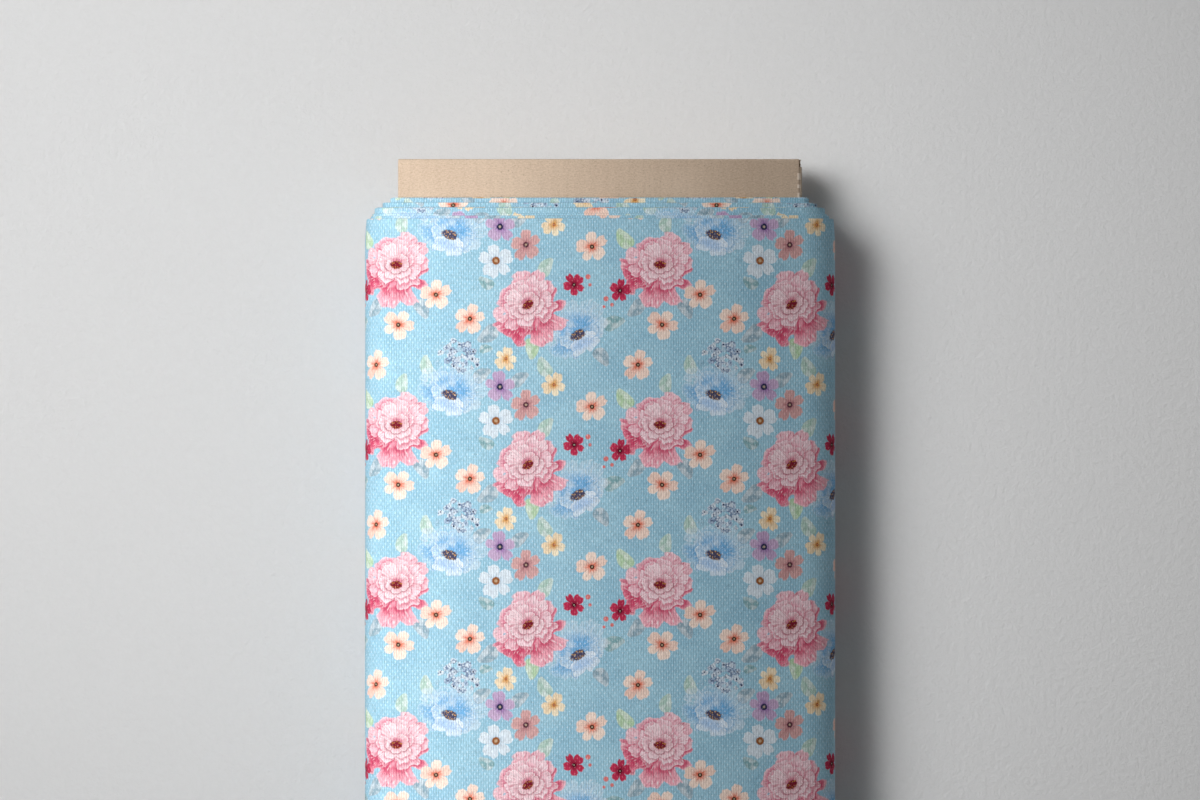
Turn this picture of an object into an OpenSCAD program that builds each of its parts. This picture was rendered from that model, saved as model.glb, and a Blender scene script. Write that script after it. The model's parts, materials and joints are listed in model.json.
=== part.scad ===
// Fabric bolt: printed cloth, folded double and wound flat round a hollow corrugated card board.
// The bolt lies on its back. +X runs across the board, +Y along it and +Z through its thickness.
// The origin is at the bottom centre of the bolt, on the surface that it lies on. Millimetres.

/* [Card board] */
// Width of the folded board
board_w = 203; // [195:1:230]
// Length of the folded board
board_l = 597; // [580:1:640]
// Thickness of the folded board
board_t = 25; // [22:1:32]
// Thickness of the corrugated card
card_t = 3; // [2.5:0.5:4]
// Thickness of each paper liner of the card
liner_t = 0.4; // [0.3:0.1:0.6]
// Pitch of the flutes between the liners
flute_pitch = 6.5; // [5:0.5:9]
// How far the side walls stop short of the board's ends
wall_setback = 4; // [3.5:0.5:8]
// How far the right side wall stands out past the front panel's folded edge
wall_bulge = 1.4; // [0.5:0.1:2]

/* [Inside the board] */
// Distance from the board's middle to the web of each spacer
spacer_x = 36; // [30:1:40]
// Width of each spacer's glued flanges
flange_w = 20; // [12:1:22]
// Length of each spacer
spacer_l = 510; // [400:10:530]
// Width of the glued seam flap
seam_w = 28; // [20:1:32]
// Length of the glued seam flap
seam_l = 530; // [450:10:540]

/* [End flaps] */
// Length of the lip that tucks into the board
lip_l = 18; // [10:1:18]
// Slant of the tucked lip, up from the back panel
lip_slant = 38; // [36:1:50]
// Gap between a flap and the card round it
flap_gap = 0.6; // [0.4:0.1:1]

/* [Label and tape] */
// Width of the paper label on the lower end
label_w = 120; // [60:1:150]
// Height of the paper label on the lower end
label_h = 16; // [10:1:17]
// Thickness of the label and of the tape
paper_t = 0.2; // [0.1:0.1:0.2]
// Length of each strip of starting tape
tape_l = 60; // [30:1:90]
// Width of each strip of starting tape
tape_w = 24; // [12:1:48]
// Distance between neighbouring strips of starting tape
tape_pitch = 200; // [100:10:230]

/* [Cloth] */
// Width of the cloth once it is folded double
cloth_w = 559; // [500:1:565]
// Depth of the wound cloth, out to the outer whole turn
wound_build = 15.05; // [14:0.05:24]
// Looseness between the outer whole turn and the loose end
loose_gap = 0.6; // [0.5:0.1:1.2]
// Thickness of the loose end, which is cloth folded double
double_t = 1.2; // [0.6:0.1:1.5]
// Distance from the board's top end to the innermost turns
inner_inset = 19.6; // [16:0.1:30]

/* [Hidden] */

kraft = [0.80, 0.69, 0.58];
kraft_inside = [0.72, 0.60, 0.48];
label_white = [0.95, 0.94, 0.92];
tape_buff = [0.86, 0.78, 0.62];
cloth_blue = [0.56, 0.78, 0.86];
cloth_pink = [0.90, 0.62, 0.68];

// Gap left round the board for the tape under the first turn
first_gap = 0.3;
// Each group of turns: its name, its outer depth as a share of the wound depth,
// and how far its top edge sits below the top edge of the innermost turns
inner_turns_row = [0.28, 0];
second_turns_row = [0.54, 3];
middle_turns_row = [0.88, 5];
fourth_turns_row = [0.94, 8];
outer_turn_row = [1, 9.5];
loose_end_inset = 10.3;

mid_z = wound_build + board_t / 2;
hollow_h = board_t - 2 * card_t;
half_w = board_w / 2;
half_l = board_l / 2;
front_z = mid_z + board_t / 2;
roll_top_z = front_z + wound_build + loose_gap + double_t;
// The loose end leaves the roll just above its middle, so that it lies on the table once unrolled
leave_z = roll_top_z / 2 + 0.15;
// Outer face of each end flap, set in by the thickness of the label
flap_y = half_l - paper_t;

// One hollow between two neighbouring flutes, drawn at its wide foot
module flute_hollow() {
    foot = flute_pitch / 2 - 0.9;
    crest = 0.5;
    rise = card_t - 2 * liner_t - 0.4;
    polygon([[-foot, 0], [foot, 0], [crest, rise], [-crest, rise]]);
}

// Corrugated card seen at its cut end: two liners with the fluted paper between them
module card_section(w) {
    count = floor((w - 2) / flute_pitch);
    start = (w - count * flute_pitch) / 2 + flute_pitch / 2;
    difference() {
        square([w, card_t]);
        for (i = [0 : count - 1])
            translate([start + i * flute_pitch, liner_t])
                flute_hollow();
        for (i = [0 : count - 2])
            translate([start + (i + 0.5) * flute_pitch, card_t - liner_t])
                mirror([0, 1])
                    flute_hollow();
    }
}

// A flat sheet of card w wide and l long, its flutes running along +Y, lying on z = 0
module card_sheet(w, l) {
    translate([-w / 2, l / 2, 0])
        rotate([90, 0, 0])
            linear_extrude(l)
                card_section(w);
}

module front_panel() {
    panel_w = board_w - wall_bulge;
    color(kraft)
        translate([-wall_bulge / 2, 0, front_z - card_t])
            card_sheet(panel_w, board_l);
}

module back_panel() {
    color(kraft)
        translate([0, 0, mid_z - board_t / 2])
            card_sheet(board_w, board_l);
}

// A side wall stands on the back panel, its outer liner at x = side * half_w
module side_wall(side) {
    color(kraft)
        translate([side * (half_w - card_t / 2), 0, mid_z])
            rotate([0, side * 90, 0])
                translate([0, 0, -card_t / 2])
                    card_sheet(hollow_h, board_l - 2 * wall_setback);
}

module left_wall() {
    side_wall(-1);
}

module right_wall() {
    side_wall(1);
}

// The seam flap is glued down on the inside of the back panel, beside the left wall
module seam_flap() {
    color(kraft_inside)
        translate([-half_w + card_t + seam_w / 2, 0, mid_z - hollow_h / 2])
            card_sheet(seam_w, seam_l);
}

// A spacer is a Z of folded card: a flange on each panel and an upright web between them
module spacer(side) {
    color(kraft_inside)
        translate([side * spacer_x, 0, mid_z]) {
            translate([-side * flange_w / 2, 0, hollow_h / 2 - card_t])
                card_sheet(flange_w, spacer_l);
            translate([side * flange_w / 2, 0, -hollow_h / 2])
                card_sheet(flange_w, spacer_l);
            translate([0, spacer_l / 2, -hollow_h / 2 + card_t])
                rotate([90, 0, 0])
                    linear_extrude(spacer_l)
                        translate([-card_t / 2, 0])
                            square([card_t, hollow_h - 2 * card_t]);
        }
}

module left_spacer() {
    spacer(-1);
}

module right_spacer() {
    spacer(1);
}

// The end flap hangs from the front panel's end crease and closes the hollow end of the board
module end_flap() {
    flap_h = hollow_h - 2 * flap_gap;
    flap_w = board_w - 1;
    color(kraft)
        translate([-flap_w / 2, flap_y, mid_z - flap_h / 2])
            mirror([0, 1, 0])
                linear_extrude(flap_h)
                    card_section(flap_w);
}

// The lip is folded inwards at the foot of the flap and slants up inside the board
module tuck_lip() {
    lip_w = board_w - 2 * card_t - 3;
    foot_y = flap_y - card_t;
    foot_z = mid_z - hollow_h / 2 + flap_gap;
    color(kraft_inside)
        difference() {
            translate([0, foot_y, foot_z])
                rotate([-lip_slant, 0, 0])
                    translate([0, -lip_l / 2, 0])
                        card_sheet(lip_w, lip_l + 2 * card_t);
            translate([-half_w, foot_y, foot_z - board_t])
                cube([board_w, board_t, 2 * board_t]);
        }
}

module top_end_flap() {
    end_flap();
}

module top_tuck_lip() {
    tuck_lip();
}

module bottom_end_flap() {
    mirror([0, 1, 0])
        end_flap();
}

module bottom_tuck_lip() {
    mirror([0, 1, 0])
        tuck_lip();
}

// A plain paper label stuck on the flap at the lower end of the board
module end_label() {
    color(label_white)
        translate([-label_w / 2, -half_l, mid_z - label_h / 2])
            cube([label_w, paper_t, label_h]);
}

// Strips of paper tape hold the first turn of cloth to the back of the board
module starting_tape() {
    color(tape_buff)
        for (i = [-1 : 1])
            translate([-tape_l / 2, i * tape_pitch - tape_w / 2, mid_z - board_t / 2 - paper_t])
                cube([tape_l, tape_w, paper_t]);
}

// The outline of the board with a depth of cloth wound round it
module wound_outline(depth) {
    square([board_w + 2 * depth, board_t], center = true);
    square([board_w, board_t + 2 * depth], center = true);
    for (x = [-1, 1], y = [-1, 1])
        translate([x * half_w, y * board_t / 2])
            circle(r = depth, $fn = 96);
}

// Turns of doubled cloth between two depths, their top edge inset from the board's top end
module wound_turns(inner, outer, inset) {
    translate([0, half_l - inset, mid_z])
        rotate([90, 0, 0])
            linear_extrude(cloth_w)
                difference() {
                    wound_outline(outer);
                    wound_outline(inner);
                }
}

// A group of whole turns that lies over the group below it
module turn_group(below, row) {
    inner = below == 0 ? first_gap : below * wound_build;
    wound_turns(inner, row[0] * wound_build, inner_inset + row[1]);
}

module inner_turns() {
    color(cloth_pink)
        turn_group(0, inner_turns_row);
}

module second_turns() {
    color(cloth_blue)
        turn_group(inner_turns_row[0], second_turns_row);
}

module middle_turns() {
    color(cloth_pink)
        turn_group(second_turns_row[0], middle_turns_row);
}

module fourth_turns() {
    color(cloth_blue)
        turn_group(middle_turns_row[0], fourth_turns_row);
}

module outer_turn() {
    color(cloth_pink)
        turn_group(fourth_turns_row[0], outer_turn_row);
}

// The last half turn: over the front from the right side, and down to the middle of the left side
module loose_end() {
    inner = wound_build + loose_gap;
    outer = inner + double_t;
    color(cloth_blue)
        difference() {
            wound_turns(inner, outer, inner_inset + loose_end_inset);
            translate([-board_w, -board_l, leave_z - 2 * board_t - outer])
                cube([2 * board_w, 2 * board_l, 2 * board_t + outer]);
        }
}

front_panel();
back_panel();
left_wall();
right_wall();
seam_flap();
left_spacer();
right_spacer();
top_end_flap();
top_tuck_lip();
bottom_end_flap();
bottom_tuck_lip();
end_label();
starting_tape();
inner_turns();
second_turns();
middle_turns();
fourth_turns();
outer_turn();
loose_end();
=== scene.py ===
"""Looks of the fabric bolt: doubled cloth wound as a true spiral, corrugated card and painted
print. Lengths in the mesh code are metres; the print is laid out in millimetres."""
import json
import math

import bmesh
import bpy
import numpy as np
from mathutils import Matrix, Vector


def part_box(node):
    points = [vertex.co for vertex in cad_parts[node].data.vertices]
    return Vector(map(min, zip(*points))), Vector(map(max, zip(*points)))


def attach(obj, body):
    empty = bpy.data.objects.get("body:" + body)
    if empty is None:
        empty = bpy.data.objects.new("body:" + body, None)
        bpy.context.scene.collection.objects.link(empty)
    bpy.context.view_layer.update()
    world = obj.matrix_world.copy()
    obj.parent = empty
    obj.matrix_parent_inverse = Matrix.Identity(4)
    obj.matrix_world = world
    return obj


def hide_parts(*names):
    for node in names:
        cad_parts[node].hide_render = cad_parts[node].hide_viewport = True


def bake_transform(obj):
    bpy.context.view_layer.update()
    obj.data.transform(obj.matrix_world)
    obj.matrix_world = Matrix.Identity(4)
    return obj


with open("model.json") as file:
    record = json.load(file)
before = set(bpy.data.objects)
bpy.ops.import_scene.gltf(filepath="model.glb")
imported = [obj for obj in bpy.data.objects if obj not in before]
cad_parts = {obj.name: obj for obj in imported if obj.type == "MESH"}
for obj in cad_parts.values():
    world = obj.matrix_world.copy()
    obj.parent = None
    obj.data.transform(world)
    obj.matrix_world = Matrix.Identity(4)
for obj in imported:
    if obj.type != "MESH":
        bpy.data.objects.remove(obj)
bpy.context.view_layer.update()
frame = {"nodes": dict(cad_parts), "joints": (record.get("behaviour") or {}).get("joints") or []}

MM = 0.001
X, Z = Vector((1, 0, 0)), Vector((0, 0, 1))

# ---------------------------------------------------------------- sizes, taken from the frame
back_low, back_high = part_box("back_panel")
front_low, front_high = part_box("front_panel")
_, wall_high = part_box("right_wall")
_, ring_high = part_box("outer_turn")
tail_low, tail_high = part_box("loose_end")
flap_low, flap_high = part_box("top_end_flap")
lip_low, lip_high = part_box("top_tuck_lip")
JOINTS = {joint["name"]: joint for joint in frame["joints"]}

HALF_W, HALF_L = back_high.x, back_high.y
HALF_T = (front_high.z - back_low.z) / 2
MID_Z = (front_high.z + back_low.z) / 2
FRONT_Z, BACK_Z = front_high.z, back_low.z
CARD_T = front_high.z - front_low.z
RING_DEPTH = ring_high.x - HALF_W
TAIL_DEPTH = tail_high.x - HALF_W
CLOTH_W = tail_high.y - tail_low.y
LEAVE_X, _, LEAVE_Z = JOINTS["unroll"]["pos_m"]


# ---------------------------------------------------------------- meshes
def new_mesh(name, verts, faces, kinds=None, uvs=None):
    """A mesh object. kinds holds one material number for each face, uvs one pair for each point."""
    mesh = bpy.data.meshes.new(name)
    mesh.from_pydata([tuple(v) for v in verts], [], faces)
    if kinds is not None:
        mesh.polygons.foreach_set("material_index", np.asarray(kinds, dtype=np.int32))
    if uvs is not None:
        corner = np.zeros(len(mesh.loops), dtype=np.int32)
        mesh.loops.foreach_get("vertex_index", corner)
        layer = mesh.uv_layers.new(name="UVMap")
        layer.data.foreach_set("uv", np.asarray(uvs, dtype=np.float32)[corner].ravel())
    shell = bmesh.new()
    shell.from_mesh(mesh)
    bmesh.ops.recalc_face_normals(shell, faces=shell.faces)
    shell.to_mesh(mesh)
    shell.free()
    mesh.shade_smooth()
    mesh.set_sharp_from_angle(angle=math.radians(35))
    piece = bpy.data.objects.new(name, mesh)
    bpy.context.scene.collection.objects.link(piece)
    return piece


def finish_piece(piece, body, materials, nodes=()):
    """Gives a piece its materials and its body, and hides the CAD nodes that it stands for."""
    for material in materials:
        piece.data.materials.append(material)
    if body is not None:
        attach(piece, body)
    if nodes:
        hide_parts(*nodes)
    return piece


class Solid:
    """Collects closed strips of paper, each swept along a path of frames."""

    def __init__(self):
        self.verts, self.faces, self.kinds = [], [], []

    def sweep(self, top, bottom, path, kind=0):
        """Fills between two curves of (across, depth) points, all along a path. Each step of the
        path is its origin, the way across and the way inwards."""
        count, base = len(top), len(self.verts)
        row = 2 * count
        for origin, across, inward in path:
            for a, d in list(top) + list(bottom):
                self.verts.append(origin + across * a + inward * d)
        for j in range(len(path) - 1):
            near, far = base + j * row, base + (j + 1) * row
            for i in range(count - 1):
                self.face(kind, near + i, near + i + 1, far + i + 1, far + i)
                low = count + i
                self.face(kind, near + low, near + low + 1, far + low + 1, far + low)
            self.face(kind, near, near + count, far + count, far)
            self.face(kind, near + count - 1, near + row - 1, far + row - 1, far + count - 1)
        for end in (base, base + (len(path) - 1) * row):
            for i in range(count - 1):
                self.face(kind, end + i, end + i + 1, end + count + i + 1, end + count + i)

    def face(self, kind, *corners):
        self.faces.append(corners)
        self.kinds.append(kind)

    def piece(self, name):
        return new_mesh(name, self.verts, self.faces, self.kinds)


# ---------------------------------------------------------------- corrugated card
LINER_T = 0.4 * MM
FLUTE_T = 0.35 * MM
FLUTE_PITCH = 6.5 * MM
FLUTE_STEPS = 12
OUTSIDE, FLUTING, TORN = 0, 1, 2


def strip(width, near, far, steps=1):
    """Top and bottom curve of a flat strip of paper between two depths."""
    across = [width * (i / steps - 0.5) for i in range(steps + 1)]
    return [(a, near) for a in across], [(a, far) for a in across]


def fluting(width):
    """Top and bottom curve of the waved paper inside a strip of card."""
    waves = max(1, round(width / FLUTE_PITCH))
    steps = waves * FLUTE_STEPS
    swing = CARD_T / 2 - LINER_T - FLUTE_T / 2
    top, bottom = [], []
    for i in range(steps + 1):
        a = width * (i / steps - 0.5)
        angle = 2 * math.pi * waves * i / steps
        slope = swing * 2 * math.pi * waves / width * math.sin(angle)
        half = FLUTE_T / 2 * math.sqrt(1 + slope * slope)
        middle = CARD_T / 2 + swing * math.cos(angle)
        top.append((a, middle - half))
        bottom.append((a, middle + half))
    return top, bottom


def add_card(solid, width, path, outer_liner=True):
    """Corrugated card with its flutes along the path. Depth runs from its outer face inwards."""
    if outer_liner:
        solid.sweep(*strip(width, 0, LINER_T), path, OUTSIDE)
    solid.sweep(*fluting(width), path, FLUTING)
    solid.sweep(*strip(width, CARD_T - LINER_T, CARD_T), path, OUTSIDE)


def straight(x, z, half_length, across, inward):
    """A path along the board, from its lower to its upper end."""
    ends = (-half_length, half_length)
    return [(Vector((x, y, z)), across, inward) for y in ends]


def arc(centre, radius, start, end, steps):
    """Points on an arc in a plane, with angles in degrees."""
    angles = [math.radians(start + (end - start) * i / steps) for i in range(steps + 1)]
    return [(centre[0] + radius * math.cos(a), centre[1] + radius * math.sin(a)) for a in angles]


# ---------------------------------------------------------------- cloth wound round the board
PLY_T = 0.40 * MM
FOLD_GAP = 0.06 * MM
CLOTH_T = 2 * PLY_T + FOLD_GAP
FIRST_DEPTH = 0.3 * MM + CLOTH_T
WHOLE_TURNS = 13
LAST_TURN = WHOLE_TURNS + 1
SIDE_STEPS, CORNER_STEPS, FACE_STEPS = 8, 6, 20
# Distance from the board's upper end to the cloth's upper edge, from each turn number onwards
EDGE_INSETS = [(0, 19.6), (3, 22.4), (7, 24.7), (11, 27.6), (12, 29.0), (13, 29.9)]


def smoothstep(value, low, high):
    share = min(1, max(0, (value - low) / (high - low)))
    return share * share * (3 - 2 * share)


def one_turn():
    """(point on the board, outward direction) for each step of a turn. It starts on the left side
    at the height where the cloth ends, and goes under the board, up the right side and back over
    the front."""
    low_z, high_z = MID_Z - HALF_T, MID_Z + HALF_T
    drop, rise = LEAVE_Z - low_z, high_z - LEAVE_Z
    # Shares of the way up or down a side, closer together near the height where the cloth ends
    close = [(i / SIDE_STEPS) ** 1.7 for i in range(SIDE_STEPS)]
    stations = []
    for share in close:
        stations.append((-HALF_W, LEAVE_Z - drop * share, 180))
    for i in range(CORNER_STEPS):
        stations.append((-HALF_W, low_z, 180 + 90 * i / CORNER_STEPS))
    for i in range(FACE_STEPS):
        stations.append((-HALF_W + 2 * HALF_W * i / FACE_STEPS, low_z, 270))
    for i in range(CORNER_STEPS):
        stations.append((HALF_W, low_z, 270 + 90 * i / CORNER_STEPS))
    for share in reversed(close[1:]):
        stations.append((HALF_W, LEAVE_Z - drop * share, 360))
    for share in close:
        stations.append((HALF_W, LEAVE_Z + rise * share, 360))
    for i in range(CORNER_STEPS):
        stations.append((HALF_W, high_z, 360 + 90 * i / CORNER_STEPS))
    for i in range(FACE_STEPS):
        stations.append((HALF_W - 2 * HALF_W * i / FACE_STEPS, high_z, 450))
    for i in range(CORNER_STEPS):
        stations.append((-HALF_W, high_z, 450 + 90 * i / CORNER_STEPS))
    for share in reversed(close[1:]):
        stations.append((-HALF_W, LEAVE_Z + rise * share, 540))
    return stations


STATIONS = one_turn()
TURN_STEPS = len(STATIONS)
# How far the winding is drawn in at the corners, as a share of its depth, and over what width of
# the faces
CORNER_DRAW = 0.16
CROWN_W = 30 * MM
# The same towards the cloth's two edges, and how far from the cloth's middle that starts and ends
EDGE_DRAW = 0.09
DRAW_START, DRAW_END = CLOTH_W / 2 - 14 * MM, CLOTH_W / 2 + 12 * MM
# Height of the unevenness of the wound faces, as a share of the depth
RIPPLE = 0.006
# Share of a turn over which the cloth's edge steps from one inset to the next
STEP_START, STEP_END = 0.06, 0.40
# Steps over which the last half turn rises off the turn below
LIFT_STEPS = 12


def crown(station):
    """Share of the full depth: the tight cloth draws in towards the board's four corners."""
    x, z, angle = station
    if abs(x) < HALF_W:
        return 1 - CORNER_DRAW * smoothstep(abs(x), HALF_W - CROWN_W, HALF_W)
    if z not in (MID_Z - HALF_T, MID_Z + HALF_T):
        return 1
    return 1 - CORNER_DRAW * smoothstep(abs(math.sin(math.radians(angle))), 0, 1)


CROWN = [crown(station) for station in STATIONS]
HALF_STEP = 2 * SIDE_STEPS - 1 + 2 * CORNER_STEPS + FACE_STEPS


def step_depth(step):
    """Depth of the cloth's outer face at a step of the winding."""
    turn = step / TURN_STEPS
    climb = FIRST_DEPTH + (RING_DEPTH - FIRST_DEPTH) * min(turn / WHOLE_TURNS, 1)
    leaves = WHOLE_TURNS * TURN_STEPS + HALF_STEP
    last_lift = (TAIL_DEPTH - RING_DEPTH) * smoothstep(step, leaves - LIFT_STEPS, leaves)
    return (climb + last_lift) * CROWN[step % TURN_STEPS]


def step_inset(step):
    """Distance from the board's upper end to the cloth's fold, with the wander of hand winding."""
    turn = step / TURN_STEPS
    inset = EDGE_INSETS[0][1]
    for (_, before), (start, after) in zip(EDGE_INSETS, EDGE_INSETS[1:]):
        inset += (after - before) * smoothstep(turn, start + STEP_START, start + STEP_END)
    wander = 0.30 * math.sin(2.3 * turn + 0.8) + 0.14 * math.sin(7.9 * turn)
    return (inset + wander) * MM


def squeeze(y):
    """The cloth lies a little closer to the board towards its two edges."""
    from_middle = abs(y - (tail_low.y + tail_high.y) / 2)
    return 1 - EDGE_DRAW * smoothstep(from_middle, DRAW_START, DRAW_END)


def ripple(x, y):
    """Slight unevenness of the wound faces, always inwards, as a share of the depth."""
    wave = math.sin(x * 31 + math.sin(y * 9) * 1.3) * math.sin(y * 13 + 0.7)
    wave += math.sin(x * 57 + y * 21)
    return RIPPLE * (wave - 2)


def hairpin():
    """The doubled cloth seen at its cut end, as (distance from the fold, depth below the outer
    face, side). side is 0 on the print and 1 on the wrong side."""
    # Shares of the cloth's width, closer together towards its two edges
    shares = [0, 0.006, 0.02, 0.05, 0.12, 0.25, 0.42, 0.6, 0.77, 0.9, 0.965, 0.99, 1]
    radius = CLOTH_T / 2
    run = [radius + (CLOTH_W - radius) * share for share in shares]
    bend = arc((radius, radius), radius, 112.5, 247.5, 6)
    inner_bend = arc((radius, radius), FOLD_GAP / 2, 247.5, 112.5, 6)
    loop = [(d, 0, 0) for d in reversed(run)]
    loop += [(d, CLOTH_T - depth, 0) for d, depth in bend]
    loop += [(d, CLOTH_T, 0) for d in run]
    loop += [(d, CLOTH_T - PLY_T, 1) for d in reversed(run)]
    loop += [(d, CLOTH_T - depth, 1) for d, depth in inner_bend]
    loop += [(d, PLY_T, 1) for d in run]
    return loop


def distances_along():
    """Metres along the cloth at each step, from the middle of the front of the last turn."""
    points = []
    for step in range(LAST_TURN * TURN_STEPS + 1):
        x, z, angle = STATIONS[step % TURN_STEPS]
        depth, out = step_depth(step) - CLOTH_T / 2, math.radians(angle)
        points.append((x + depth * math.cos(out), z + depth * math.sin(out)))
    steps = np.linalg.norm(np.diff(np.array(points), axis=0), axis=1)
    along = np.concatenate([[0], np.cumsum(steps)])
    middle = WHOLE_TURNS * TURN_STEPS + HALF_STEP + SIDE_STEPS + CORNER_STEPS + FACE_STEPS // 2
    return along - along[middle]


ALONG = distances_along()


def wound_cloth(name, first_step, last_step):
    """A stretch of the doubled cloth. Its UV map holds metres along the cloth and up it."""
    loop = hairpin()
    rows = len(loop)
    verts, uvs, faces, kinds = [], [], [], []
    for step in range(first_step, last_step + 1):
        x, z, angle = STATIONS[step % TURN_STEPS]
        out = Vector((math.cos(math.radians(angle)), 0, math.sin(math.radians(angle))))
        depth, fold_y = step_depth(step), HALF_L - step_inset(step)
        for distance, below, side in loop:
            y = fold_y - distance
            level = (depth * (1 + ripple(x, y)) - below) * squeeze(y)
            verts.append(Vector((x, y, z)) + out * level)
            behind = below > CLOTH_T / 2
            uvs.append((-ALONG[step], fold_y + distance if behind else fold_y - distance))
    for j in range(last_step - first_step):
        near, far = j * rows, (j + 1) * rows
        for i in range(rows):
            k = (i + 1) % rows
            faces.append((near + i, near + k, far + k, far + i))
            kinds.append(1 if loop[i][2] and loop[k][2] else 0)
    half = rows // 2
    for end in (0, (last_step - first_step) * rows):
        for i in range(half - 1):
            faces.append((end + i, end + i + 1, end + rows - 2 - i, end + rows - 1 - i))
            kinds.append(1)
    return new_mesh(name, verts, faces, kinds, uvs)


def cloth_piece(node, first_step, last_step, body):
    """The stretch of cloth that stands for a node, as a folded sheet of its real flat size."""
    piece = wound_cloth(node + "_cloth", first_step, last_step)
    finish_piece(piece, body, [PRINT, WRONG_SIDE], [node])
    return piece


# ---------------------------------------------------------------- shader graphs
def paint(red, green, blue):
    """A colour given as screen values from 0 to 255, turned into the renderer's linear colour."""
    def linear(value):
        value /= 255
        return value / 12.92 if value <= 0.04045 else ((value + 0.055) / 1.055) ** 2.4
    return (linear(red), linear(green), linear(blue), 1.0)


class Wire:
    """A value in a shader graph. Arithmetic on it adds Math nodes."""

    def __init__(self, graph, socket):
        self.graph, self.socket = graph, socket

    def __add__(self, other):
        return self.graph.math("ADD", self, other)

    def __sub__(self, other):
        return self.graph.math("SUBTRACT", self, other)

    def __rsub__(self, other):
        return self.graph.math("SUBTRACT", other, self)

    def __mul__(self, other):
        return self.graph.math("MULTIPLY", self, other)

    def __truediv__(self, other):
        return self.graph.math("DIVIDE", self, other)


class Graph:
    """Short calls that add shader nodes to a tree and return what comes out of them."""

    def __init__(self, tree):
        self.tree = tree

    def node(self, kind, inputs, out=0, **settings):
        made = self.tree.nodes.new("ShaderNode" + kind)
        for key, value in settings.items():
            setattr(made, key, value)
        for key, value in inputs.items():
            socket = made.inputs[key]
            if isinstance(value, Wire):
                self.tree.links.new(value.socket, socket)
            elif value is not None:
                socket.default_value = value
        if isinstance(out, (list, tuple)):
            return [Wire(self, made.outputs[name]) for name in out]
        return Wire(self, made.outputs[out])

    def math(self, operation, *values):
        return self.node("Math", dict(enumerate(values)), operation=operation)

    def vector(self, operation, *values):
        out = "Value" if operation in ("LENGTH", "DISTANCE", "DOT_PRODUCT") else "Vector"
        return self.node("VectorMath", dict(enumerate(values)), out=out, operation=operation)

    def scaled(self, vector, factor):
        return self.node("VectorMath", {0: vector, "Scale": factor}, operation="SCALE")

    def split(self, vector):
        return self.node("SeparateXYZ", {0: vector}, out=["X", "Y", "Z"])

    def join(self, x, y, z=0.0):
        return self.node("CombineXYZ", {0: x, 1: y, 2: z})

    def smooth(self, value, low, high):
        """0 below low and 1 above high, with a soft change between them; low may be above high."""
        inputs = {"Value": value, "From Min": low, "From Max": high}
        return self.node("MapRange", inputs, interpolation_type="SMOOTHSTEP")

    def mix(self, share, first, second, blend="MIX"):
        """Mixes two colours."""
        sockets = {0: share, 6: first, 7: second}
        return self.node("Mix", sockets, out=2, data_type="RGBA", blend_type=blend)

    def pick(self, share, first, second):
        """Mixes two vectors."""
        return self.node("Mix", {0: share, 4: first, 5: second}, out=1, data_type="VECTOR")

    def noise(self, vector, scale=1.0, detail=2.0, roughness=0.5, out="Factor"):
        inputs = {"Vector": vector, "Scale": scale, "Detail": detail, "Roughness": roughness}
        return self.node("TexNoise", inputs, out=0 if out == "Factor" else 1)

    def turned(self, vector, angle):
        inputs = {"Vector": vector, "Angle": angle}
        return self.node("VectorRotate", inputs, rotation_type="Z_AXIS")


def surface(name):
    """A new material: its graph and its Principled shader."""
    material = bpy.data.materials.new(name)
    material.use_nodes = True
    shader = material.node_tree.nodes["Principled BSDF"]
    return material, Graph(material.node_tree), shader


def plug(graph, shader, **inputs):
    for name, value in inputs.items():
        socket = shader.inputs[name.replace("_", " ")]
        if isinstance(value, Wire):
            graph.tree.links.new(value.socket, socket)
        else:
            socket.default_value = value


def bump(graph, height, distance, strength=1.0):
    inputs = {"Strength": strength, "Distance": distance, "Height": height}
    return graph.node("Bump", inputs)


# ---------------------------------------------------------------- card, paper and floor materials
def card_material(name, light, dark, flute_mark):
    """Kraft paper: cloudy tone, short fibres, and the faint lines of the flutes under it."""
    material, g, shader = surface(name)
    place = g.node("TexCoord", {}, out="Object")
    x, y, z = g.split(place)
    cloud = g.noise(place, 30, 2)
    fibres = g.noise(g.join(x * 700, y * 1500, z * 900), 1, 2, 0.7)
    grain = g.noise(place, 1300, 2, 0.8)
    lines = g.math("COSINE", x * (2 * math.pi / FLUTE_PITCH))
    tone = cloud * 0.25 + fibres * 0.55 + grain * 0.45 + lines * flute_mark
    colour = g.mix(g.smooth(tone, 0.34, 0.86), dark, light)
    specks = g.smooth(g.noise(place, 900, 1), 0.32, 0.26)
    colour = g.mix(specks * 0.45, colour, g.mix(0.5, dark, (0.05, 0.03, 0.02, 1)))
    height = fibres * 0.7 + grain * 0.7 + lines * (flute_mark * 4)
    plug(g, shader, Base_Color=colour, Roughness=0.85, Normal=bump(g, height, 0.00015))
    return material


def plain_material(name, colour, roughness=0.6, grain=900, depth=0.00005):
    """Paper or plaster: one colour with a fine cloudiness and grain."""
    material, g, shader = surface(name)
    place = g.node("TexCoord", {}, out="Object")
    spots = g.noise(place, grain, 4, 0.7)
    darker = tuple(value * 0.93 for value in colour[:3]) + (1.0,)
    plug(g, shader, Base_Color=g.mix(spots, darker, colour), Roughness=roughness)
    plug(g, shader, Normal=bump(g, spots, depth))
    return material


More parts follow.
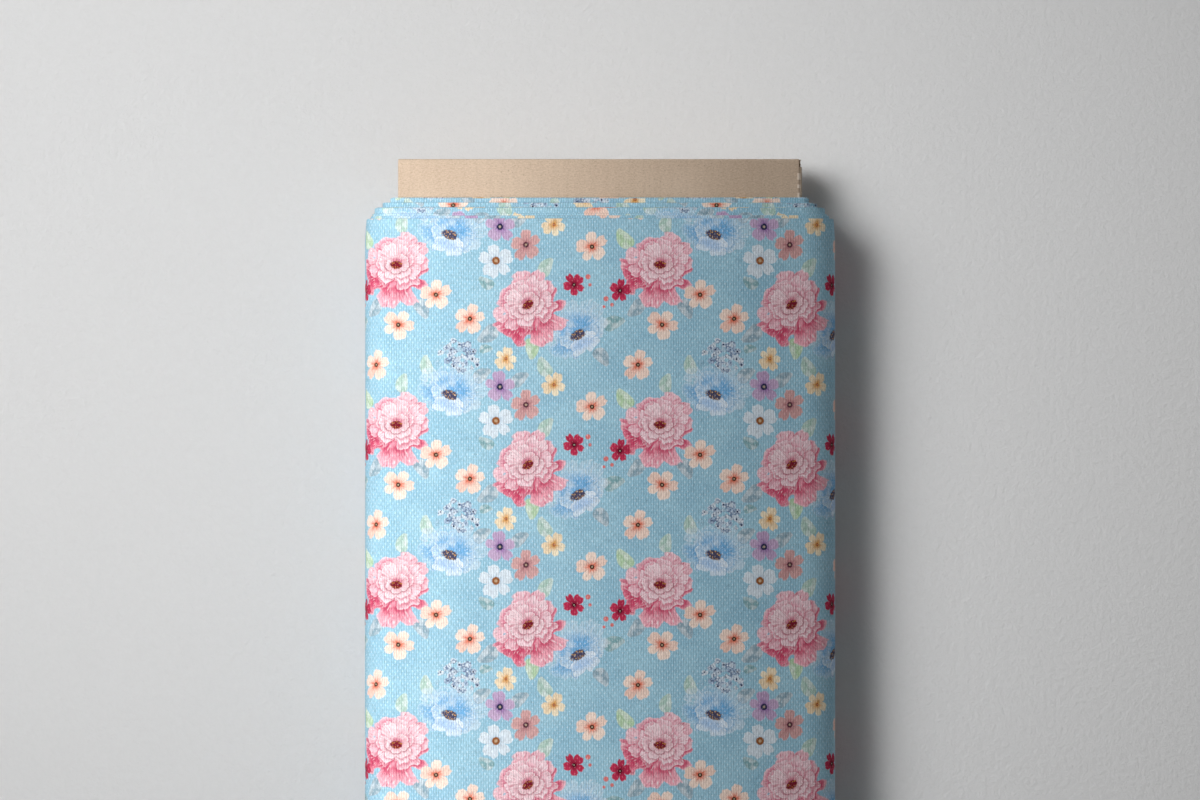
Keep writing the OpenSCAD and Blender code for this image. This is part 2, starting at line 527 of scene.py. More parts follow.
def label_material():
    """White gummed paper with a thin grey border and three ruled lines to write on."""
    material, g, shader = surface("label_paper")
    low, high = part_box("end_label")
    x, _, z = g.split(g.node("TexCoord", {}, out="Object"))
    half_w, half_h = (high.x - low.x) / 2, (high.z - low.z) / 2
    across = g.math("ABSOLUTE", x - (low.x + high.x) / 2)
    up = z - (low.z + high.z) / 2
    above = g.math("ABSOLUTE", up)
    border, border_half, border_end = 1.5 * MM, 0.25 * MM, 1.3 * MM
    rule_half, rule_inset = 0.12 * MM, 8 * MM
    border_x = g.math("COMPARE", across, half_w - border, border_half)
    border_z = g.math("COMPARE", above, half_h - border, border_half)
    inside_x = g.math("LESS_THAN", across, half_w - border_end)
    inside_z = g.math("LESS_THAN", above, half_h - border_end)
    ink = g.math("MAXIMUM", border_x * inside_z, border_z * inside_x)
    for share in (-0.4, 0.0, 0.4):
        rule = g.math("COMPARE", up, share * half_h, rule_half)
        ink = g.math("MAXIMUM", ink, rule * g.math("LESS_THAN", across, half_w - rule_inset))
    grain = g.noise(g.join(x, up), 900, 3, 0.7)
    paper = g.mix(grain, paint(232, 231, 226), paint(244, 243, 239))
    plug(g, shader, Base_Color=g.mix(ink * 0.75, paper, paint(112, 128, 142)), Roughness=0.55)
    plug(g, shader, Normal=bump(g, grain, 0.00005))
    return material


KRAFT = card_material("kraft_card", paint(219, 196, 173), paint(184, 160, 137), 0.012)
FLUTE = card_material("flute_paper", paint(188, 160, 132), paint(148, 120, 94), 0.0)
TORN_PAPER = plain_material("torn_paper", paint(232, 214, 196), 0.95, 3000, 0.0002)
LABEL = label_material()
TAPE = plain_material("tape_paper", paint(216, 198, 160), 0.5)
FLOOR = plain_material("pale_floor", paint(222, 222, 222), 0.9, 300, 0.0006)


# ---------------------------------------------------------------- the printed flowers
# One tile of the print, in millimetres. Its big flowers stand in columns, and every other column
# is a quarter of a tile lower
TILE_W, TILE_H = 132.0, 80.0
TILE_X, TILE_Y = 30.0, 165.0
DROP = TILE_H / 4

PEONIES = [(0, 0, 19, 0), (-TILE_W / 2, -DROP, 19, 38)]
ANEMONES = [(27, 15, 17, -16), (-41, -35, 17, 30)]
PEACH = [(245, 222, 208), (226, 112, 84), (60, 40, 28)]
CREAM = [(246, 232, 204), (220, 160, 88), (176, 92, 44)]
RED = [(196, 52, 86), (128, 18, 46), (58, 12, 28)]
WHITE = [(222, 232, 240), (188, 208, 224), (150, 92, 50)]
ROSE = [(214, 168, 166), (180, 120, 126), (88, 46, 60)]
VIOLET = [(196, 170, 202), (146, 108, 166), (38, 42, 78)]
# Small flowers: x, y, radius, turn in degrees, size of the eye, then petal, heart and eye colours
FLOWERS = [
    (50, 2, 8.8, 25, 0.22, *WHITE),
    (65, 10, 8.2, 96, 0.17, *ROSE),
    (52, 19, 8.4, 20, 0.19, *VIOLET),
    (-20, -13, 5.8, 10, 0.15, *RED),
    (-43, -10, 5.8, 50, 0.15, *RED),
    (20, -15, 8.4, 92, 0.13, *PEACH),
    (37, -27, 8.2, 80, 0.13, *PEACH),
    (1, -30, 8.4, 64, 0.13, *PEACH),
    (-34, 9, 8.4, 100, 0.13, *PEACH),
    (-11, 30, 8.2, 84, 0.13, *PEACH),
    (-53, 20, 6.2, 60, 0.12, *CREAM),
    (55, 33, 6.0, 74, 0.12, *CREAM),
]
GREEN, SAGE, SLATE, TEAL = (186, 214, 164), (178, 206, 188), (142, 166, 180), (126, 168, 172)
# Leaves: x, y, half length, turn in degrees, colour
LEAVES = [
    (-18, 13, 5.8, 130, GREEN),
    (3, 21, 5.0, 80, SAGE),
    (13, -22, 5.5, -56, SLATE),
    (-12, -22, 5.4, -130, SLATE),
    (43, 25, 5.1, 38, SLATE),
    (15, 30, 5.0, 104, SAGE),
    (-57, -1, 5.3, 62, SAGE),
    (-64, 38, 5.5, -84, GREEN),
    (46, -35, 6.0, -140, SLATE),
    (45, -9, 4.4, 150, TEAL),
    (-23, -29, 5.6, 22, TEAL),
    (-29, 34, 5.3, -50, SLATE),
    (-58, 29, 5.4, 120, SAGE),
    (45, 38, 3.4, 10, TEAL),
    (62, 23, 5.0, 40, SLATE),
]
BUDS = [(-27, -17, 1.5), (-24, -20, 1.1), (-28, -21, 0.9), (-36, -6, 1.5), (-35, -10, 1.0)]
CLUSTER = (31, 35, 11.5, 10)


def tone(colour):
    return paint(*colour)


def from_spot(g, place, x, y):
    """Where a place lies as seen from the nearest repeat of a spot in the tile."""
    half = (TILE_W / 2, TILE_H / 2, 1)
    return g.vector("WRAP", g.vector("SUBTRACT", place, (x, y, 0)), half, tuple(-h for h in half))


def nearest(g, place, spots):
    """For a place in the print, the spot that it lies closest to: its own coordinates there, its
    radius, an extra number and its colours. Each spot is (x, y, radius, turn, extra, colours)."""
    found = None
    for x, y, radius, turn, extra, colours in spots:
        away = from_spot(g, place, x, y)
        distance = g.vector("LENGTH", away) * (1 / radius)
        facts = (radius, math.radians(-turn), extra)
        tones = [tone(colour) for colour in colours]
        if found is None:
            found = (distance, away, facts, tones)
            continue
        closer = g.math("LESS_THAN", distance, found[0])
        found = (
            g.math("MINIMUM", distance, found[0]),
            g.pick(closer, found[1], away),
            g.pick(closer, found[2], facts),
            [g.mix(closer, old, new) for old, new in zip(found[3], tones)],
        )
    distance, away, facts, tones = found
    radius, turn, extra = g.split(facts)
    return g.turned(away, turn), radius, extra, tones


def group_inputs(g, names):
    made = g.tree.nodes.new("NodeGroupInput")
    return [Wire(g, made.outputs[name]) for name in names]


def group_outputs(g, **values):
    made = g.tree.nodes.new("NodeGroupOutput")
    for name, value in values.items():
        g.tree.links.new(value.socket, made.inputs[name])


def petal_ring():
    """A node group: a ring of overlapping petals painted over what lies under it."""
    tree = bpy.data.node_groups.new("petal_ring", "ShaderNodeTree")
    kinds = {
        "Place": "Vector", "Centre": "Vector", "Size": "Vector", "Petals": "Float",
        "Phase": "Float", "Tip": "Color", "Root": "Color", "Deep": "Color", "Crease": "Float",
        "Streaks": "Float", "Under": "Color", "Cover": "Float",
    }
    for name, kind in kinds.items():
        tree.interface.new_socket(name, in_out="INPUT", socket_type="NodeSocket" + kind)
    for name, kind in (("Colour", "Color"), ("Cover", "Float")):
        tree.interface.new_socket(name, in_out="OUTPUT", socket_type="NodeSocket" + kind)
    g = Graph(tree)
    wires = group_inputs(g, kinds)
    place, centre, size, petals, phase, tip, root, deep, crease, streaks, under, cover = wires
    own = g.vector("DIVIDE", g.vector("SUBTRACT", place, centre), size)
    x, y, _ = g.split(own)
    radius = g.vector("LENGTH", own)
    angle = g.math("ARCTAN2", y, x)
    angle = angle + g.math("SINE", angle * 2 + phase * 5) * 0.17 + phase
    lobe = g.math("ABSOLUTE", g.math("COSINE", angle * petals * 0.5))
    count = g.math("FLOORED_MODULO", g.math("FLOOR", angle * petals / (2 * math.pi) + 0.5), petals)
    chance = g.node("TexWhiteNoise", {"W": count + phase}, out="Value", noise_dimensions="1D")
    slant = g.math("SINE", angle * petals)
    notch = g.smooth(lobe, 0.90, 1.0) * 0.05
    edge = g.math("POWER", lobe, 0.50) * 0.25 + chance * 0.16
    edge = edge + (streaks - 0.5) * 0.07 - notch + 0.68
    inside = edge - radius
    on_petal = g.smooth(inside, -0.012, 0.03)
    below_side = g.smooth(y, 0.8, -0.5) * 0.8 + 0.2
    shadow = g.smooth(inside, -0.20, 0.0) * below_side * cover * crease
    below = g.mix(shadow, under, deep)
    share = radius / edge + (streaks - 0.5) * 0.75 + (chance - 0.5) * 0.34
    body = g.mix(g.smooth(share, 0.40, 1.0), root, tip)
    overlap = g.smooth(slant, 0.35, 1.0) * g.smooth(lobe, 0.85, 0.35) * g.smooth(radius, 0.35, 0.75)
    body = g.mix(overlap * crease * 0.45, body, deep)
    gap = g.smooth(lobe, 0.22, 0.03) * g.smooth(radius, 0.3, 0.7) * crease
    body = g.mix(gap * 0.75, body, deep)
    rim = g.smooth(inside, 0.10, 0.02) * on_petal * 0.35
    body = g.mix(rim, body, g.mix(0.6, tip, (1, 1, 1, 1)))
    group_outputs(g, Colour=g.mix(on_petal, below, body), Cover=g.math("MAXIMUM", on_petal, cover))
    return tree


# Rings of the peony, outermost first: centre, radii, number of petals, phase, then the colours of
# the tips, the roots and the creases, and the depth of the creases
PEONY_RINGS = [
    ((-1.6, -5.6), (20.5, 15.8), 8, 0.3, (242, 176, 190), (208, 72, 106), (198, 60, 96), 0.7),
    ((-13.0, -6.8), (7.5, 7.0), 3, 1.9, (232, 126, 150), (206, 70, 104), (186, 50, 86), 0.5),
    ((-0.4, 2.4), (17.4, 15.0), 8, 1.1, (240, 192, 203), (226, 140, 162), (204, 78, 110), 0.85),
    ((0.6, 1.8), (13.6, 11.6), 7, 0.5, (243, 210, 218), (226, 148, 168), (204, 92, 118), 0.65),
    ((0.2, 1.6), (9.8, 8.8), 6, 2.0, (243, 214, 220), (218, 140, 160), (190, 84, 108), 0.6),
    ((0.4, 0.9), (6.2, 5.4), 5, 1.7, (240, 206, 212), (206, 122, 142), (158, 58, 82), 0.7),
]
# Rings of the blue anemone, in the same order
ANEMONE_RINGS = [
    ((0.2, 3.6), (17.8, 13.8), 7, 0.5, (206, 224, 238), (154, 200, 231), (128, 181, 221), 0.40),
    ((-8.8, -0.6), (8.8, 6.6), 3, 0.9, (178, 210, 234), (116, 174, 220), (104, 162, 212), 0.40),
    ((1.0, 3.2), (12.4, 10.2), 5, 1.2, (198, 220, 238), (114, 175, 222), (104, 164, 213), 0.45),
    ((0.4, -5.4), (8.6, 5.0), 4, 0.8, (222, 234, 246), (178, 206, 238), (120, 170, 218), 0.7),
]


def flower_rings(g, group, place, table, grain):
    """Paints all the rings of one kind of flower, with streaks that run outwards from its eye."""
    warp = g.vector("SUBTRACT", g.noise(place, 0.10, 1, 0.5, out="Color"), (0.5, 0.5, 0.5))
    bent = g.vector("ADD", place, g.scaled(warp, 3.2))
    x, y, _ = g.split(bent)
    angle = g.math("ARCTAN2", y, x)
    streaks = g.noise(g.join(angle * grain, g.vector("LENGTH", bent) * 0.16), 1.5, 2, 0.65)
    colour, cover = tone(table[0][4]), 0.0
    for centre, size, petals, phase, tip, root, deep, crease in table:
        made = g.tree.nodes.new("ShaderNodeGroup")
        made.node_tree = group
        values = {"Place": bent, "Centre": centre + (0,), "Size": size + (1,), "Petals": petals,
                  "Phase": phase, "Tip": tone(tip), "Root": tone(root), "Deep": tone(deep),
                  "Crease": crease, "Streaks": streaks, "Under": colour, "Cover": cover}
        for name, value in values.items():
            if isinstance(value, Wire):
                g.tree.links.new(value.socket, made.inputs[name])
            else:
                made.inputs[name].default_value = value
        colour, cover = Wire(g, made.outputs["Colour"]), Wire(g, made.outputs["Cover"])
    lines = g.noise(g.join(angle * grain * 2.2, g.vector("LENGTH", bent) * 0.30), 1, 2, 0.6)
    colour = g.mix(g.smooth(lines, 0.54, 0.70) * 0.65, colour, tone(table[-2][6]))
    return g.mix(g.smooth(lines, 0.44, 0.28) * 0.60, colour, (1, 1, 1, 1)), cover, streaks


def stamens(g, place, size, dark, bright):
    """A patch of fine dots: its colour and where it lies."""
    cells = {"Vector": place, "Scale": 1.25, "Randomness": 0.9}
    distance, chance = g.node("TexVoronoi", cells, out=["Distance", "Color"])
    dots = g.smooth(distance, 0.55, 0.28)
    pick = g.math("GREATER_THAN", g.split(chance)[0], 0.36)
    reach = g.vector("LENGTH", g.vector("DIVIDE", place, size + (1,))) + distance * 0.35
    colour = g.mix(pick * dots, tone(dark), tone(bright))
    return colour, g.smooth(reach, 1.18, 0.98)


def peony(g, group, place):
    colour, cover, _ = flower_rings(g, group, place, PEONY_RINGS, 9)
    ring, patch = stamens(g, place, (3.4, 2.2), (122, 26, 44), (196, 132, 70))
    return g.mix(patch, colour, ring), cover


def anemone(g, group, place):
    """Soft washes: the ground shows through where the paint is thin."""
    colour, cover, streaks = flower_rings(g, group, place, ANEMONE_RINGS, 11)
    heart, patch = stamens(g, place, (4.6, 2.6), (76, 74, 102), (206, 160, 98))
    middle = g.smooth(g.vector("LENGTH", g.vector("DIVIDE", place, (17, 14, 1))), 1.1, 0.3)
    strength = g.smooth(streaks + middle * 0.35, 0.28, 0.62) * (middle * 0.4 + 0.6)
    return g.mix(patch, colour, heart), g.math("MAXIMUM", cover * strength, patch)


def small_flower(g, own, extra, tones, seed):
    """Five petals round a dark eye, in units of the flower's radius: its colour and its cover."""
    petal, heart, eye = tones
    x, y, _ = g.split(own)
    radius = g.vector("LENGTH", own)
    angle = g.math("ARCTAN2", y, x)
    angle = angle + g.math("SINE", angle * 2 + seed) * 0.15
    lobe = g.math("ABSOLUTE", g.math("COSINE", angle * 2.5))
    count = g.math("FLOORED_MODULO", g.math("FLOOR", angle * (2.5 / math.pi) + 0.5), 5.0)
    chance = g.node("TexWhiteNoise", {"W": count + seed}, out="Value", noise_dimensions="1D")
    streaks = g.noise(g.join(angle * 7, radius, seed), 1.5, 2, 0.65)
    notch = g.smooth(lobe, 0.88, 1.0) * (chance * 0.10 + 0.04)
    edge = g.math("POWER", lobe, 0.42) * 0.66 + chance * 0.18 + streaks * 0.24 - notch + 0.16
    inside = edge - radius
    share = radius / edge + (streaks - 0.5) * 0.9
    colour = g.mix(chance * 0.55, petal, g.mix(0.5, heart, petal))
    colour = g.mix(g.smooth(share, 0.10, 0.60), heart, colour)
    rim = g.smooth(inside, 0.10, 0.02) * 0.16
    colour = g.mix(rim, colour, (1, 1, 1, 1))
    gap = g.smooth(lobe, 0.26, 0.03) * g.smooth(radius, 0.9, 0.3)
    colour = g.mix(gap * 0.5, colour, heart)
    centre = g.smooth(radius + (streaks - 0.5) * 0.10 - extra, 0.04, -0.03)
    glint = g.smooth(radius / extra, 0.55, 0.25) * 0.55
    colour = g.mix(centre, colour, g.mix(glint, eye, tone((232, 208, 176))))
    return colour, g.smooth(inside, -0.02, 0.05)


def leaf(g, own, tones):
    """A pointed leaf along x, in units of half its length."""
    x, y, _ = g.split(own)
    drift = g.noise(g.scaled(own, 1.4), 1, 1)
    bend = y + x * x * 0.18 - 0.05
    side = g.math("ABSOLUTE", bend)
    width = g.math("SQRT", g.math("MAXIMUM", 1.0 - x * x, 0.0)) * (0.62 - x * 0.20)
    width = width + (drift - 0.5) * 0.20
    ribs = g.math("SINE", (x + side * 1.1) * 21)
    colour = g.mix(g.smooth(drift, 0.35, 0.70), tones[0], g.mix(0.5, tones[0], (1, 1, 1, 1)))
    marks = g.smooth(ribs, 0.3, 1.0) * 0.22 + g.smooth(side, 0.05, 0.0) * 0.40
    colour = g.mix(marks, colour, g.mix(0.5, tones[0], tone((70, 100, 110))))
    cover = g.smooth(width - side, -0.03, 0.06) * g.smooth(g.math("ABSOLUTE", x), 1.0, 0.94)
    return colour, cover * 0.86


def florets(g, place):
    """A round cluster of tiny pale florets with dark gaps between them."""
    x, y, wide, high = CLUSTER
    own = from_spot(g, place, x, y)
    cells = {"Vector": own, "Scale": 0.44, "Randomness": 0.85}
    distance, chance, middle = g.node("TexVoronoi", cells, out=["Distance", "Color", "Position"])
    reach = g.vector("LENGTH", g.vector("DIVIDE", middle, (wide, high, 1)))
    shade = g.split(chance)[0]
    petals = g.node("TexVoronoi", {"Vector": own, "Scale": 1.0, "Randomness": 1.0}, out="Distance")
    colour = g.mix(shade, tone((218, 228, 236)), tone((158, 182, 208)))
    colour = g.mix(g.smooth(petals, 0.42, 0.78) * 0.9, colour, tone((104, 126, 158)))
    colour = g.mix(g.smooth(distance, 0.27, 0.16), colour, tone((48, 52, 84)))
    inside = g.smooth(reach + shade * 0.2, 1.14, 1.04) * g.smooth(distance, 1.0, 0.8)
    return colour, inside


# Pitch of the raised crossings of the weave, and of the upright ribs between them, in millimetres
CROSSING_W, CROSSING_H, RIB_PITCH = 2.5, 3.1, 1.25


def woven(g, along, up):
    """Plain weave of upright ribs, slubs and pale crossings: its brightness with painted shade, its
    specks and its height.
    """
    slub = g.noise(g.join(along * 1.7, up * 0.35), 1, 2, 0.7)
    weft = g.noise(g.join(along * 0.25, up * 1.5), 1, 1, 0.7)
    across = along + (weft - 0.5) * 0.9
    rib = g.math("COSINE", across * (2 * math.pi / RIB_PITCH))
    lattice = g.math("COSINE", across * (2 * math.pi / CROSSING_W))
    lattice = lattice * g.math("COSINE", (up + (slub - 0.5) * 0.8) * (2 * math.pi / CROSSING_H))
    specks = g.smooth(lattice, 0.50, 0.95) * g.smooth(slub, 0.32, 0.66)
    # Painted shade and highlight: the rib and crossing terms make the thread relief lighter and
    # darker, while slubs and weft give the yarn's own tone
    bright = rib * 0.12 + lattice * 0.05 + (slub - 0.5) * 0.85 + (weft - 0.5) * 0.35 + 1.0
    height = rib * 0.35 + lattice * 0.3 + slub * 0.8 + weft * 0.4
    return bright, specks, height


def cloth_graph(name):
    """A new cloth material, with the place on the cloth in millimetres."""
    material, g, shader = surface(name)
    u, v, _ = g.split(g.node("UVMap", {}, uv_map="UVMap"))
    return material, g, shader, u * 1000, v * 1000


def finish_cloth(g, shader, colour, weave, inked, roughness):
    """Adds the weave to the print, fainter where it is inked, and plugs both into the shader."""
    bright, specks, height = weave
    # Multiplies the print by the weave's brightness, which holds painted shade and highlight on the
    # threads
    colour = g.mix(1.0, colour, g.join(bright, bright, bright), blend="MULTIPLY")
    colour = g.mix(specks * (0.46 - inked * 0.30), colour, (1, 1, 1, 1))
    plug(g, shader, Base_Color=colour, Roughness=roughness, Normal=bump(g, height, 0.0002, 0.5))
    plug(g, shader, Sheen_Weight=0.03, Sheen_Roughness=0.5, Specular_IOR_Level=0.1)


def unit(g, own, radius):
    return g.vector("DIVIDE", own, g.join(radius, radius, 1.0))


def printed_side():
    """The right side of the cloth: every flower of the print on its pale blue ground."""
    group = petal_ring()
    material, g, shader, along, up = cloth_graph("printed_cloth")
    plane = g.join(along - TILE_X, up - TILE_Y)
    place = from_spot(g, plane, 0, 0)
    cloud = g.noise(plane, 0.05, 2, 0.6)
    colour = g.mix(g.smooth(cloud, 0.3, 0.7), tone((151, 195, 216)), tone((163, 205, 223)))

    spots = [(x, y, size, turn, 0, [shade]) for x, y, size, turn, shade in LEAVES]
    own, radius, _, tones = nearest(g, place, spots)
    painted, cover = leaf(g, unit(g, own, radius), tones)
    colour = g.mix(cover, colour, painted)

    own, _, _, _ = nearest(g, place, [(x, y, size, turn, 0, []) for x, y, size, turn in ANEMONES])
    painted, cover = anemone(g, group, own)
    colour = g.mix(cover, colour, painted)

    painted, cover = florets(g, place)
    colour = g.mix(cover, colour, painted)

    own, _, _, _ = nearest(g, place, [(x, y, size, turn, 0, []) for x, y, size, turn in PEONIES])
    painted, inked = peony(g, group, own)
    colour = g.mix(inked, colour, painted)

    spots = [(x, y, size, turn, eye, shades) for x, y, size, turn, eye, *shades in FLOWERS]
    own, radius, eye, tones = nearest(g, place, spots)
    painted, cover = small_flower(g, unit(g, own, radius), eye, tones, radius * 1.7)
    colour = g.mix(cover, colour, painted)
    inked = g.math("MAXIMUM", inked, cover)

    own, radius, _, _ = nearest(g, place, [(x, y, size, 0, 0, []) for x, y, size in BUDS])
    dots = g.smooth(g.vector("LENGTH", own) / radius, 1.0, 0.7)
    colour = g.mix(dots * 0.9, colour, tone((230, 112, 104)))
    finish_cloth(g, shader, colour, woven(g, along, up), inked, 0.85)
    return material


def wrong_side():
    """The back of the cloth: a paler ground, with the print only a faint stain."""
    material, g, shader, along, up = cloth_graph("cloth_wrong_side")
    cells = {"Vector": g.join(along, up), "Scale": 0.035}
    distance, chance = g.node("TexVoronoi", cells, out=["Distance", "Color"])
    warm = g.smooth(g.split(chance)[0], 0.35, 0.65)
    colour = g.mix(warm, tone((196, 222, 234)), tone((226, 204, 212)))
    colour = g.mix(g.smooth(distance, 0.30, 0.50), colour, tone((204, 228, 238)))
    finish_cloth(g, shader, colour, woven(g, along, up), 0.0, 0.9)
    return material


PRINT, WRONG_SIDE = printed_side(), wrong_side()


# ---------------------------------------------------------------- the card board
FOLD_R = 1.0 * MM
CREASE_X = front_high.x
CREASE_GAP = 0.15 * MM
CREASE_DIP = 0.06 * MM
FOLD_DROP = 1.6 * MM
JOIN_GAP = 0.05 * MM
PERFORATION_PITCH = 5.0 * MM
BRIDGE_T = 0.3 * MM
LIP_L = 14.5 * MM


def wrap(solid, points, half_length):
    """Adds a strip of the outer liner. Seen from the board's lower end, its points run
    anticlockwise."""
    outer, inner = [], []
    for i, (x, z) in enumerate(points):
        before, after = points[max(i - 1, 0)], points[min(i + 1, len(points) - 1)]
        way = Vector((after[0] - before[0], after[1] - before[1])).normalized()
        outer.append((x, z))
        inner.append((x - way.y * LINER_T, z + way.x * LINER_T))
    solid.sweep(outer, inner, straight(0, 0, half_length, X, Z), OUTSIDE)


def torn_bridges(solid):
    """Adds the short bridges of torn paper, of uneven length, that hold the perforated fold."""
    for i in range(int(2 * HALF_L / PERFORATION_PITCH)):
        y = HALF_L - (i + 0.75) * PERFORATION_PITCH
        reach = (0.55 + 0.18 * math.sin(i * 2.4)) * PERFORATION_PITCH / 2
        ragged = 0.2 * MM * math.sin(i * 5.1)
        if abs(y) + reach > wall_high.y:
            continue
        top = [(-1.0 * MM, 0.12 * MM), (-0.5 * MM + ragged, -0.16 * MM), (0.1 * MM, -0.22 * MM),
               (0.5 * MM, 0.05 * MM), (0.9 * MM - ragged, 0.55 * MM)]
        bottom = [(a, d + BRIDGE_T) for a, d in top]
        path = [(Vector((CREASE_X - 0.1 * MM, y + reach * share, FRONT_Z)), X, -Z)
                for share in (-1, -0.4, 0.5, 1)]
        solid.sweep(top, bottom, path, TORN)


def board_skin():
    """The board's outer paper: front, back and two sides, with a perforated fold on the right."""
    solid = Solid()
    left, low, top = -HALF_W + FOLD_R, BACK_Z + FOLD_R, FRONT_Z - FOLD_R
    front = [(CREASE_X - CREASE_GAP * (1 + i), FRONT_Z - CREASE_DIP * (1 - i / 4))
             for i in range(5)]
    front += [(x, FRONT_Z) for x in (HALF_W * 0.5, 0, -HALF_W * 0.5)]
    front += arc((left, top), FOLD_R, 90, 180, 6)
    wrap(solid, front, HALF_L - FOLD_R)
    left_side = [(-HALF_W, z) for z in (top - JOIN_GAP, MID_Z, low + JOIN_GAP)]
    wrap(solid, left_side, wall_high.y)
    back = arc((left, low), FOLD_R, 180, 270, 6)
    back += [(0, BACK_Z)]
    back += arc((-left, low), FOLD_R, 270, 360, 6)
    wrap(solid, back, HALF_L)
    bulge = HALF_W - CREASE_X
    fold = [(CREASE_X + bulge * math.sin(a), FRONT_Z - CREASE_GAP - FOLD_DROP * (1 - math.cos(a)))
            for a in (math.pi / 2, 1.25, 0.95, 0.65, 0.35, 0.12)]
    wrap(solid, [(HALF_W, low + JOIN_GAP), (HALF_W, MID_Z)] + fold, wall_high.y)
    torn_bridges(solid)
    materials = [KRAFT, FLUTE, TORN_PAPER]
    panels = ["front_panel", "back_panel", "left_wall", "right_wall"]
    finish_piece(solid.piece("board_skin"), "roll", materials, panels)


def board_core():
    """The waved paper and the inner liner behind the board's outer paper."""
    solid = Solid()
    inner_half = MID_Z - BACK_Z - CARD_T
    front_mid, front_w = (CREASE_X - HALF_W) / 2, CREASE_X + HALF_W - 2 * FOLD_R
    add_card(solid, front_w, straight(front_mid, FRONT_Z, HALF_L - FOLD_R, X, -Z), False)
    add_card(solid, 2 * (HALF_W - FOLD_R), straight(0, BACK_Z, HALF_L, X, Z), False)
    for side in (-1, 1):
        path = straight(side * HALF_W, MID_Z, wall_high.y, Z, X * -side)
        add_card(solid, 2 * inner_half, path, False)
    finish_piece(solid.piece("board_core"), "roll", [KRAFT, FLUTE])


def inside_cards():
    """The glued seam flap and the two Z-shaped spacers inside the board."""
    low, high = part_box("seam_flap")
    solid = Solid()
    add_card(solid, high.x - low.x, straight((low.x + high.x) / 2, low.z, high.y, X, Z))
    finish_piece(solid.piece("seam_flap_card"), "roll", [KRAFT, FLUTE], ["seam_flap"])
    for side, node in ((-1, "left_spacer"), (1, "right_spacer")):
        low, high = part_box(node)
        web_x, width = (low.x + high.x) / 2, (high.x - low.x) / 2
        solid = Solid()
        add_card(solid, width, straight(web_x - side * width / 2, high.z, high.y, X, -Z))
        add_card(solid, width, straight(web_x + side * width / 2, low.z, high.y, X, Z))
        web = high.z - low.z - 2 * CARD_T
        add_card(solid, web, straight(web_x - CARD_T / 2, MID_Z, high.y, Z, X))
        finish_piece(solid.piece(node + "_card"), "roll", [KRAFT, FLUTE], [node])


def end_flap(end, body, flap, lip):
    """The card flap that closes the board's end, bent round into the narrower lip that tucks in."""
    bend_r = CARD_T + 0.3 * MM
    face_y, top_z, foot_z = flap_high.y, flap_high.z, lip_low.z
    slant = math.atan2(lip_high.z - lip_low.z - CARD_T * 0.8, lip_high.y - lip_low.y)
    turn = 180 - math.degrees(slant)
    bend = arc((face_y - bend_r, foot_z + bend_r), bend_r, 0, -turn, 10)
    tip = (bend[-1][0] - math.cos(slant) * LIP_L, bend[-1][1] + math.sin(slant) * LIP_L)
    path = []
    for i, (y, z) in enumerate(bend + [tip]):
        angle = math.radians(turn * min(i / (len(bend) - 1), 1))
        facing = Vector((0, -end * math.cos(angle), math.sin(angle)))
        path.append((Vector((0, end * y, z)), X, facing))
    solid = Solid()
    inward = Vector((0, -end, 0))
    upright = [(Vector((0, end * face_y, z)), X, inward) for z in (top_z, foot_z + bend_r)]
    add_card(solid, flap_high.x - flap_low.x, upright)
    add_card(solid, lip_high.x - lip_low.x, path)
    finish_piece(solid.piece(body + "_card"), body, [KRAFT, FLUTE], [flap, lip])


def end_crease(end, body):
    """The outer liner where it bends from the front panel into the end flap."""
    top_z = flap_high.z
    crease = arc((HALF_L - FOLD_R, FRONT_Z - FOLD_R), FOLD_R, 90, 0, 8)
    crease += [(HALF_L, top_z), (HALF_L - 0.1 * MM, top_z - 2 * MM)]
    path = []
    for i, (y, z) in enumerate(crease):
        before, after = crease[max(i - 1, 0)], crease[min(i + 1, len(crease) - 1)]
        run = Vector((0, after[0] - before[0], after[1] - before[1])).normalized()
        path.append((Vector((0, end * y, z)), X, Vector((0, end * run.z, -run.y))))
    solid = Solid()
    width = CREASE_X + HALF_W - 2 * CREASE_GAP
    across = [(CREASE_X - HALF_W) / 2 + width * (i / 8 - 0.5) for i in range(9)]
    solid.sweep([(a, 0) for a in across], [(a, LINER_T) for a in across], path, OUTSIDE)
    piece = solid.piece(body + "_crease")
    finish_piece(piece, None, [KRAFT])
    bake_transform(piece)


# ---------------------------------------------------------------- assembly
board_skin()
board_core()
inside_cards()
end_flap(1, "top_flap", "top_end_flap", "top_tuck_lip")
end_crease(1, "top_flap")
end_flap(-1, "bottom_flap", "bottom_end_flap", "bottom_tuck_lip")
end_crease(-1, "bottom_flap")
for node, material in (("end_label", LABEL), ("starting_tape", TAPE)):
    frame["nodes"][node].data.materials.clear()
    frame["nodes"][node].data.materials.append(material)

# Each group of turns, and the turn number that it starts at
GROUPS = {
    "inner_turns": 0, "second_turns": 3, "middle_turns": 7, "fourth_turns": 11, "outer_turn": 12,
}
TAIL_STEP = WHOLE_TURNS * TURN_STEPS + SIDE_STEPS + CORNER_STEPS + FACE_STEPS
starts = [turn * TURN_STEPS for turn in GROUPS.values()] + [TAIL_STEP]
below = "board_skin"
for i, node in enumerate(GROUPS):
    cloth_piece(node, starts[i], starts[i + 1], "roll")
    below = node + "_cloth"
tail = cloth_piece("loose_end", TAIL_STEP, LAST_TURN * TURN_STEPS, None)
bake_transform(tail)

# ---------------------------------------------------------------- floor, light and camera
bpy.ops.mesh.primitive_plane_add(size=8, location=(0, 0, -0.0002))
floor = bpy.context.object
floor.name = "floor"
floor.data.materials.append(FLOOR)


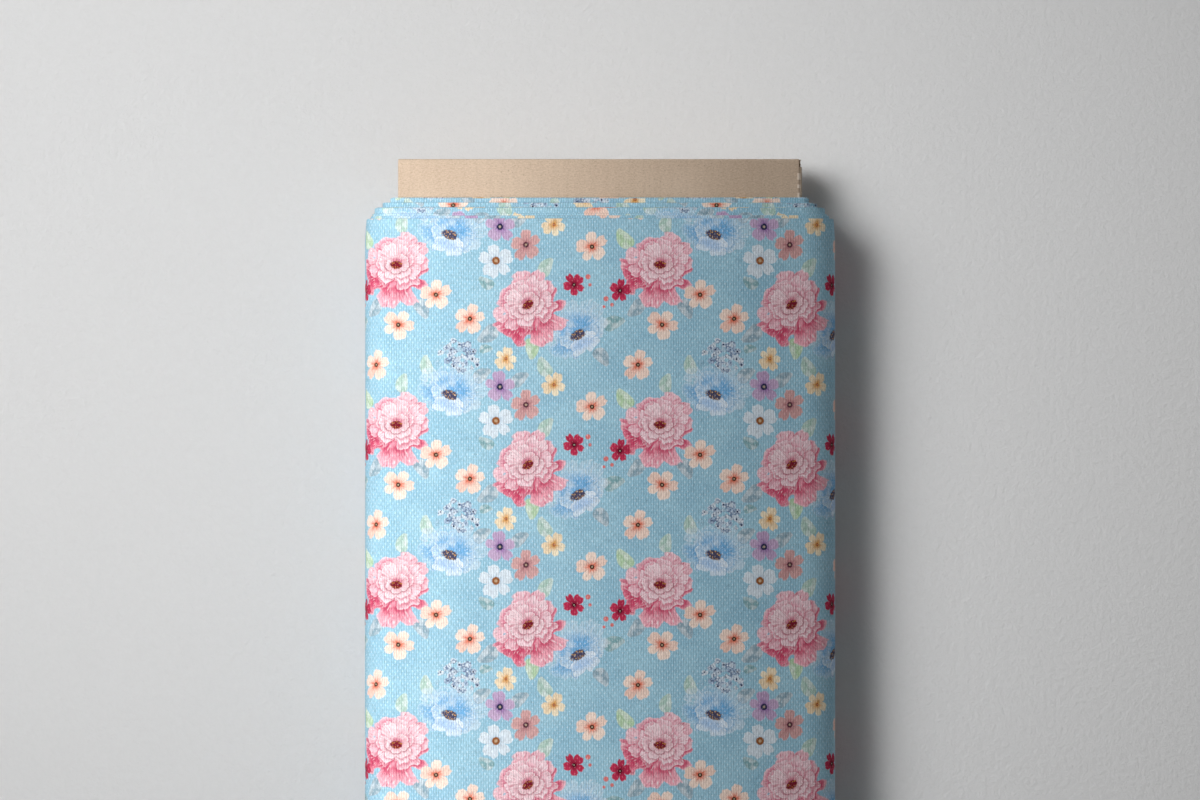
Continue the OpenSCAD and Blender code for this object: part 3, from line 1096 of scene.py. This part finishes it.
def area_light(name, place, target, size, watts, spread):
    """A soft rectangular light. spread is in degrees."""
    data = bpy.data.lights.new(name, "AREA")
    data.shape = "RECTANGLE"
    data.size, data.size_y = size
    data.energy = watts
    data.spread = math.radians(spread)
    lamp = bpy.data.objects.new(name, data)
    lamp.location = place
    lamp.rotation_euler = (Vector(target) - Vector(place)).to_track_quat("-Z", "Y").to_euler()
    bpy.context.scene.collection.objects.link(lamp)
    return lamp


def lit_only(lamp, pieces):
    """Keeps a lamp's light on some pieces, while every piece still casts its shadow."""
    group = bpy.data.collections.new(lamp.name + "_receivers")
    for piece in pieces:
        group.objects.link(piece)
    lamp.light_linking.receiver_collection = group


WINDOW, WINDOW_SIZE = (-0.80, 0.62, 1.15), (0.95, 0.95)
POOL = (-0.15, 0.25, 0)
STRIP, STRIP_SIZE = (-0.18, 0.0, 0.31), (1.0, 0.06)
LEFT_SIDE = (-0.10, 0.0, 0.05)
bolt = [piece for piece in bpy.context.scene.objects if piece.type == "MESH" and piece is not floor]
area_light("window", WINDOW, (0, 0, 0), WINDOW_SIZE, 4.7, 120)
# A pool of light on the floor alone, to the left of the bolt
lit_only(area_light("backdrop_light", WINDOW, POOL, WINDOW_SIZE, 1.55, 40), [floor])
# A long low light beside the bolt models the rounded cloth, and leaves the floor alone
lit_only(area_light("side_light", STRIP, LEFT_SIDE, STRIP_SIZE, 0.43, 64), bolt)
world = bpy.data.worlds.new("studio")
world.use_nodes = True
world.node_tree.nodes["Background"].inputs["Color"].default_value = (1, 1, 1, 1)
world.node_tree.nodes["Background"].inputs["Strength"].default_value = 0.15
bpy.context.scene.world = world
bpy.context.scene.view_settings.view_transform = "Standard"

# The width that the picture shows, and how far its middle lies below the board's upper end
VIEW_W, VIEW_DROP = 0.603, 0.1211
CAMERA_Z = 3.0
SENSOR_W = 36
camera_data = bpy.data.cameras.new("camera")
camera_data.sensor_width = SENSOR_W
camera_data.lens = SENSOR_W * (CAMERA_Z - FRONT_Z) / VIEW_W
camera = bpy.data.objects.new("camera", camera_data)
camera.location = (0, HALF_L - VIEW_DROP, CAMERA_Z)
bpy.context.scene.collection.objects.link(camera)
bpy.context.scene.camera = camera
